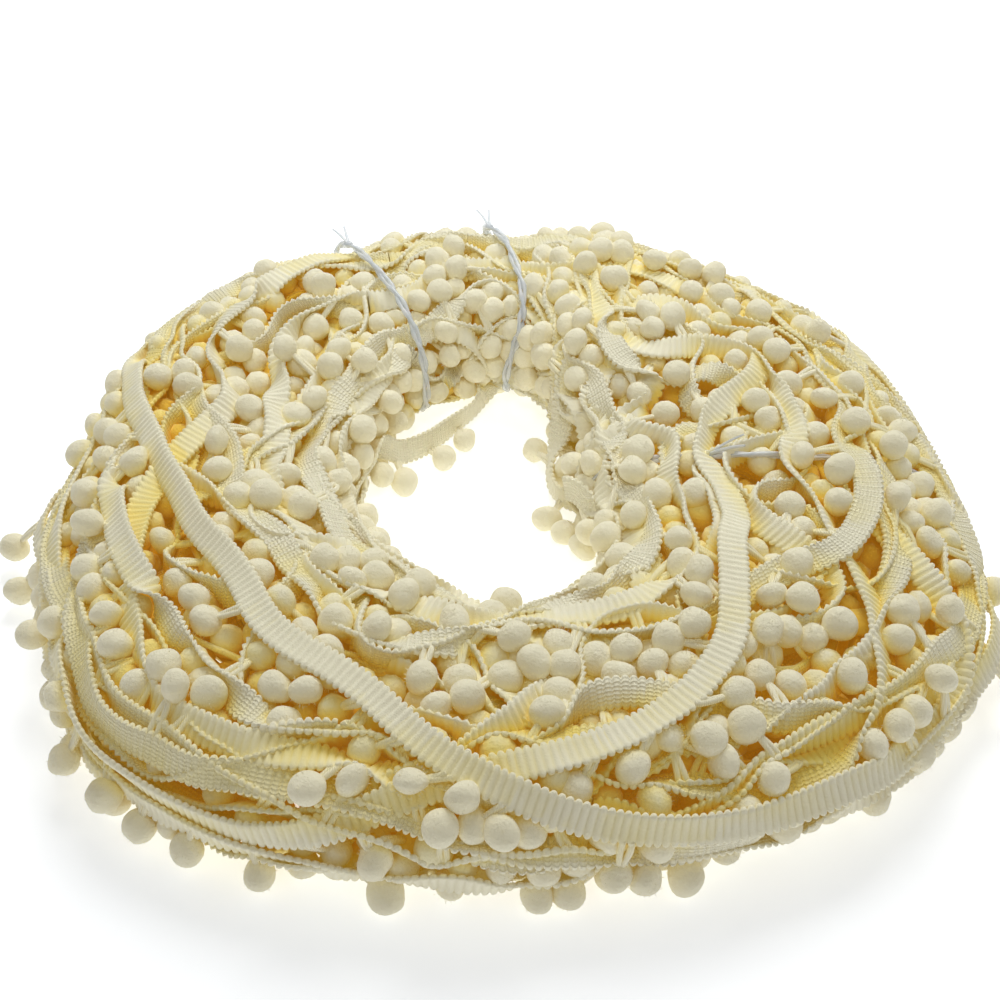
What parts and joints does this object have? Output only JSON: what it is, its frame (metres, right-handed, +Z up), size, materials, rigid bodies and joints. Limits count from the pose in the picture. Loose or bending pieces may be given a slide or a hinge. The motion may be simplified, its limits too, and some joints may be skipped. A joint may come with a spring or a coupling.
{
  "type": "pompom fringe trim hank",
  "caption": "Open ring-shaped hank of woven tape trim with yarn pompoms looped along one edge, held by three thin clear ties.",
  "frame": {"origin": "on the surface the hank lies on, under the middle of its bounding box", "axes": "+Z up out of the ring, +X to the right and +Y to the back as seen in the picture, whose camera looks along +Y and down"},
  "size_m": [0.3268, 0.302, 0.0519],
  "materials": {
    "cream_trim": "matt felted yarn pompoms and ribbed woven cotton-like tape, cream",
    "clear_film": "thin clear plastic film, slightly milky and crinkled"
  },
  "bodies": {
    "root": {"hank": "cream_trim", "tie_right": "clear_film", "tie_back": "clear_film", "tie_back_left": "clear_film"}
  },
  "joints": []
}
